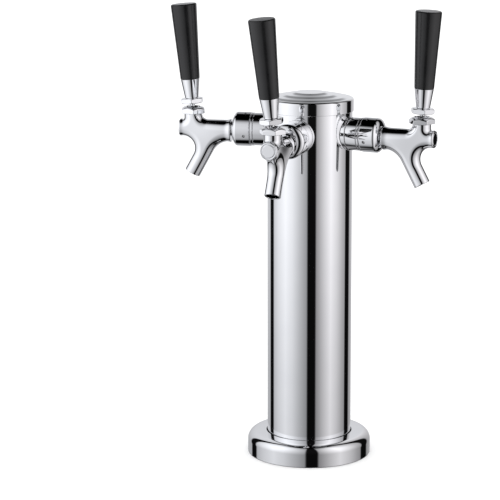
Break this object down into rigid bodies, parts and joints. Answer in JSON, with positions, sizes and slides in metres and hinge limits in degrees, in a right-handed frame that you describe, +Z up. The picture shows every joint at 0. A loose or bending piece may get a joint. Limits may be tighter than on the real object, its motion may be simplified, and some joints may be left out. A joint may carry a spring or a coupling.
{
  "type": "beer tap tower",
  "caption": "Polished column tower for draft beer, with lever faucets on threaded shanks, black tapered handles and a round base cover.",
  "frame": {"origin": "on the counter, at the centre of the whole tower seen from above; the column stands 34.5 mm behind it", "axes": "+Z up the column, +Y towards the back, -Y towards the front tap and the person who pours"},
  "size_m": [0.2481, 0.1812, 0.4102],
  "materials": {
    "chrome": "mirror-polished",
    "steel": "machined",
    "grip": "satin black",
    "rubber": "matt",
    "nylon": "matt",
    "foam": "closed-cell foam"
  },
  "bodies": {
    "tower": {"column_tube": "chrome", "base_plate": "steel", "base_gasket": "rubber", "insulation_sleeve": "foam", "left_saddle_ring": "chrome", "left_shank_sleeve": "chrome", "left_trim_ring": "chrome", "left_shank": "steel", "left_shank_nut": "steel", "left_tail_elbow": "steel", "left_coupling_nut": "chrome", "left_coupling_gasket": "rubber", "left_faucet_body": "chrome", "left_ball_seal": "rubber", "left_friction_washer": "nylon", "left_bonnet": "chrome", "front_saddle_ring": "chrome", "front_shank_sleeve": "chrome", "front_trim_ring": "chrome", "front_shank": "steel", "front_shank_nut": "steel", "front_tail_elbow": "steel", "front_coupling_nut": "chrome", "front_coupling_gasket": "rubber", "front_faucet_body": "chrome", "front_ball_seal": "rubber", "front_friction_washer": "nylon", "front_bonnet": "chrome", "right_saddle_ring": "chrome", "right_shank_sleeve": "chrome", "right_trim_ring": "chrome", "right_shank": "steel", "right_shank_nut": "steel", "right_tail_elbow": "steel", "right_coupling_nut": "chrome", "right_coupling_gasket": "rubber", "right_faucet_body": "chrome", "right_ball_seal": "rubber", "right_friction_washer": "nylon", "right_bonnet": "chrome"},
    "cap": {"column_cap": "chrome"},
    "cover": {"base_cover": "chrome"},
    "left_handle": {"left_lever": "chrome", "left_jam_nut": "chrome", "left_handle_ferrule": "chrome", "left_handle_grip": "grip"},
    "left_valve": {"left_valve_shaft": "steel", "left_shaft_seal": "rubber"},
    "front_handle": {"front_lever": "chrome", "front_jam_nut": "chrome", "front_handle_ferrule": "chrome", "front_handle_grip": "grip"},
    "front_valve": {"front_valve_shaft": "steel", "front_shaft_seal": "rubber"},
    "right_handle": {"right_lever": "chrome", "right_jam_nut": "chrome", "right_handle_ferrule": "chrome", "right_handle_grip": "grip"},
    "right_valve": {"right_valve_shaft": "steel", "right_shaft_seal": "rubber"}
  },
  "joints": [
    {"name": "left_lever_tilt", "type": "hinge", "parent": "tower", "child": "left_handle", "pos_m": [-0.106, 0.02148, 0.3097], "axis": [0.1219, -0.9925, 0], "range_deg": [0, 18]},
    {"name": "left_valve_slide", "type": "slide", "parent": "tower", "child": "left_valve", "axis": [0.9925, 0.1219, 0], "range_m": [0, 0.0042]},
    {"name": "front_lever_tilt", "type": "hinge", "parent": "tower", "child": "front_handle", "pos_m": [-0.00075, -0.0723, 0.3097], "axis": [1, -0.007, 0], "range_deg": [0, 18]},
    {"name": "front_valve_slide", "type": "slide", "parent": "tower", "child": "front_valve", "axis": [0.007, 1, 0], "range_m": [0, 0.0042]},
    {"name": "right_lever_tilt", "type": "hinge", "parent": "tower", "child": "right_handle", "pos_m": [0.106, 0.02148, 0.3097], "axis": [0.1219, 0.9925, 0], "range_deg": [0, 18]},
    {"name": "right_valve_slide", "type": "slide", "parent": "tower", "child": "right_valve", "axis": [-0.9925, 0.1219, 0], "range_m": [0, 0.0042]},
    {"name": "base_cover_lift", "type": "slide", "parent": "tower", "child": "cover", "axis": [0, 0, 1], "range_m": [0, 0.24]},
    {"name": "cap_lift", "type": "slide", "parent": "tower", "child": "cap", "axis": [0, 0, 1], "range_m": [0, 0.03]}
  ],
  "couplings": [
    {"joint": "left_valve_slide", "follows": "left_lever_tilt", "m_per_rad": 0.0133},
    {"joint": "front_valve_slide", "follows": "front_lever_tilt", "m_per_rad": 0.0133},
    {"joint": "right_valve_slide", "follows": "right_lever_tilt", "m_per_rad": 0.0133}
  ]
}
